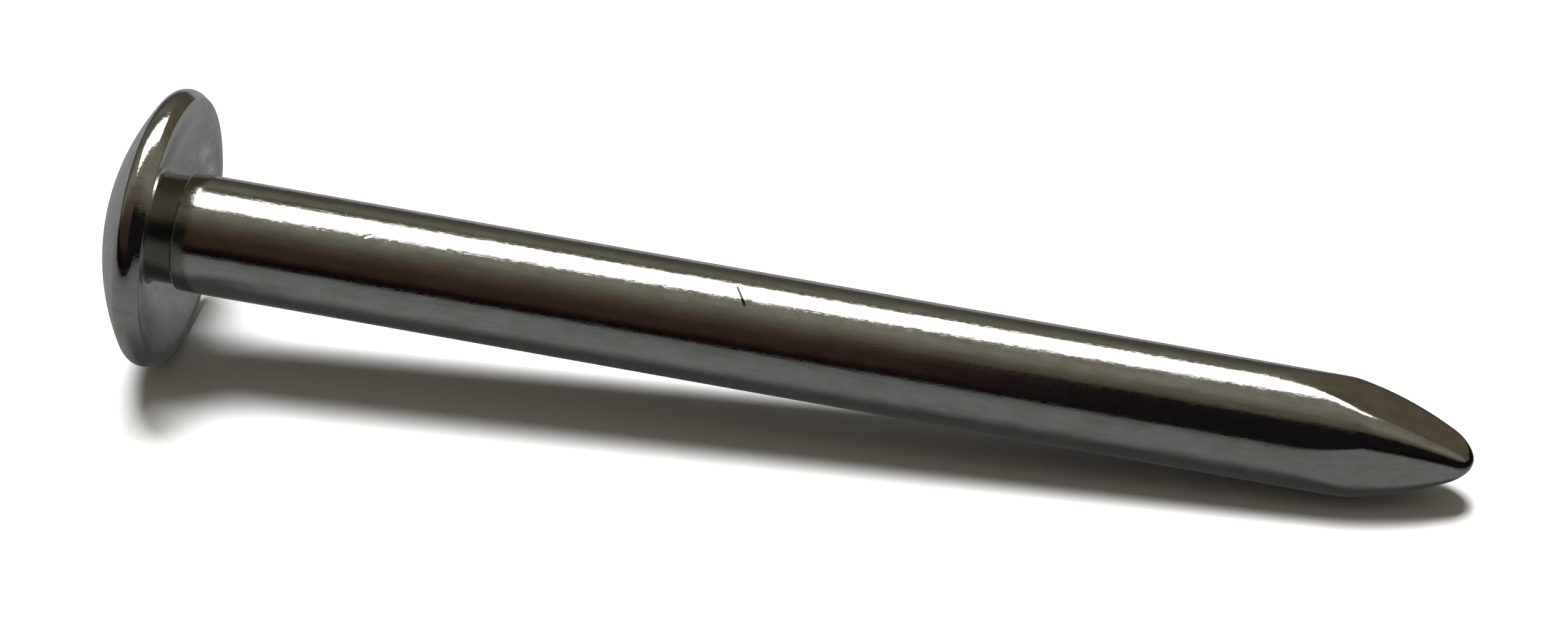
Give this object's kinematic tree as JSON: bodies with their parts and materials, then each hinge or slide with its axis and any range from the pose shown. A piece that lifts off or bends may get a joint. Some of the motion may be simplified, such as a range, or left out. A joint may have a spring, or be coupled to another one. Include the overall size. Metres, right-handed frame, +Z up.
{
  "type": "nail",
  "caption": "Bright plated steel nail with a domed head that is hollowed underneath, a short undercut neck, a smooth round shank and a blunt four-sided point.",
  "frame": {"origin": "centre of the flat ring on the head's underside, on the axis of the nail", "axes": "+X along the nail towards the point, +Z up when the nail lies on its side; the point's two broad facets face +Z and -Z and its two side facets face +Y and -Y"},
  "size_m": [0.0458, 0.0094, 0.0094],
  "materials": {
    "plated_steel": "bright plating, polished by tumbling, with faint lengthwise drawing lines"
  },
  "bodies": {
    "root": {"head": "plated_steel", "neck": "plated_steel", "shank": "plated_steel", "point": "plated_steel"}
  },
  "joints": []
}
